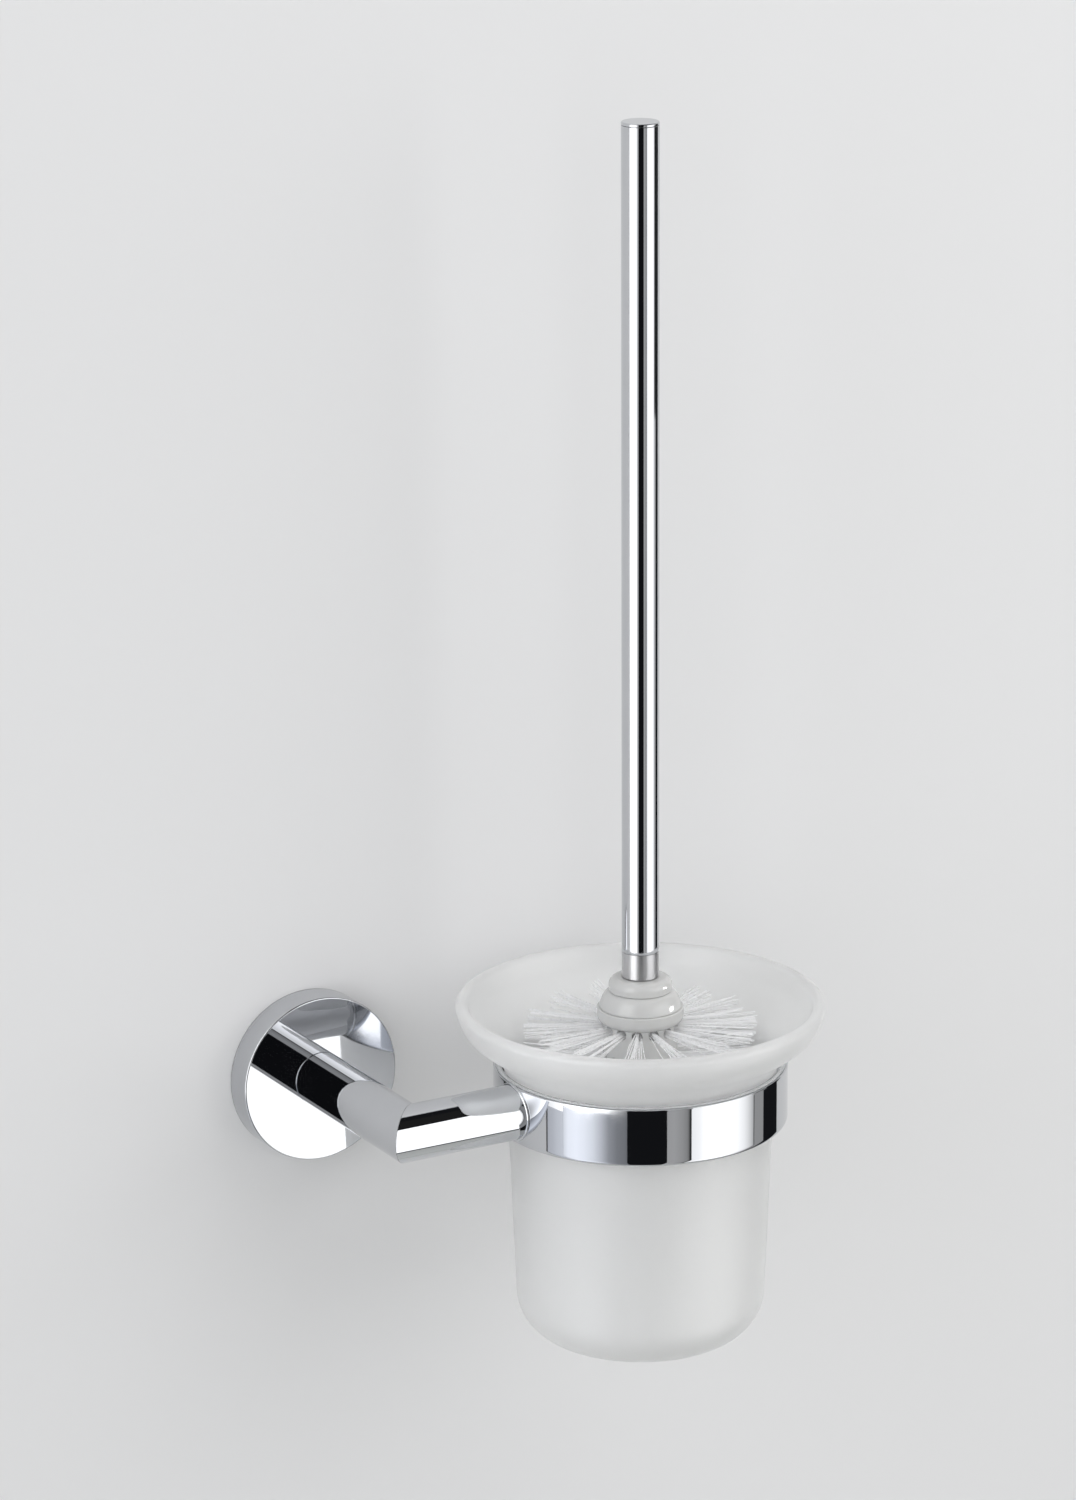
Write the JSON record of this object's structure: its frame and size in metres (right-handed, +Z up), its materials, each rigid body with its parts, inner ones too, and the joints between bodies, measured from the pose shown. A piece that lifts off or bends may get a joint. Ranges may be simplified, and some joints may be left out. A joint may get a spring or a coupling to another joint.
{
  "type": "toilet brush holder",
  "caption": "Wall-mounted toilet brush holder: round rosette, mitred tube arm, ring with a flared frosted glass cup, and a long-handled brush that lifts out.",
  "frame": {"origin": "centre of the wall bracket's back face, on the wall plane", "axes": "+Y into the wall, so the object stands out towards -Y; +Z up along the brush; +X from the arm towards the cup"},
  "size_m": [0.1724, 0.1284, 0.3986],
  "materials": {
    "chrome": "mirror chrome plating on brass",
    "satin_steel": "satin stainless steel, fine turned grain",
    "zinc_bracket": "plain die-cast zinc, matt grey",
    "steel_fasteners": "zinc-plated steel",
    "clear_plastic": "clear soft plastic",
    "frosted_glass": "satin-etched clear glass, white and translucent",
    "white_plastic": "off-white moulded plastic, half gloss",
    "nylon_bristles": "white nylon filaments in tufts"
  },
  "bodies": {
    "wall_fixing": {"wall_bracket": "zinc_bracket"},
    "holder": {"rosette_cover": "chrome", "rosette_grub_screw": "steel_fasteners", "wall_arm": "chrome", "arm_plug": "steel_fasteners", "arm_bolt": "steel_fasteners", "cross_arm": "chrome", "cross_arm_plug": "steel_fasteners", "ring_screw": "steel_fasteners", "ring_band": "chrome", "cup_liner": "clear_plastic"},
    "cup": {"glass_cup": "frosted_glass"},
    "brush_head": {"head_collar": "white_plastic", "head_cap": "white_plastic", "brush_core": "white_plastic", "bristle_row_1": "nylon_bristles", "bristle_row_2": "nylon_bristles", "bristle_row_3": "nylon_bristles", "bristle_row_4": "nylon_bristles", "bristle_row_5": "nylon_bristles", "bristle_row_6": "nylon_bristles", "bristle_row_7": "nylon_bristles", "bristle_row_8": "nylon_bristles", "bristle_row_end": "nylon_bristles"},
    "brush_handle": {"handle_tube": "chrome", "handle_end_cap": "chrome", "handle_connector": "satin_steel", "head_stud": "steel_fasteners"}
  },
  "joints": [
    {"name": "holder_release", "type": "slide", "parent": "wall_fixing", "child": "holder", "axis": [0, -1, 0], "range_m": [0, 0.02]},
    {"name": "cup_lift", "type": "slide", "parent": "holder", "child": "cup", "axis": [0, 0, 1], "range_m": [0, 0.12]},
    {"name": "brush_lift", "type": "slide", "parent": "cup", "child": "brush_head", "axis": [0, 0, 1], "range_m": [0, 0.14]},
    {"name": "handle_unscrew", "type": "hinge", "parent": "brush_head", "child": "brush_handle", "pos_m": [0.0855, -0.069, 0], "axis": [0, 0, 1], "range_deg": [0, 2700]}
  ]
}
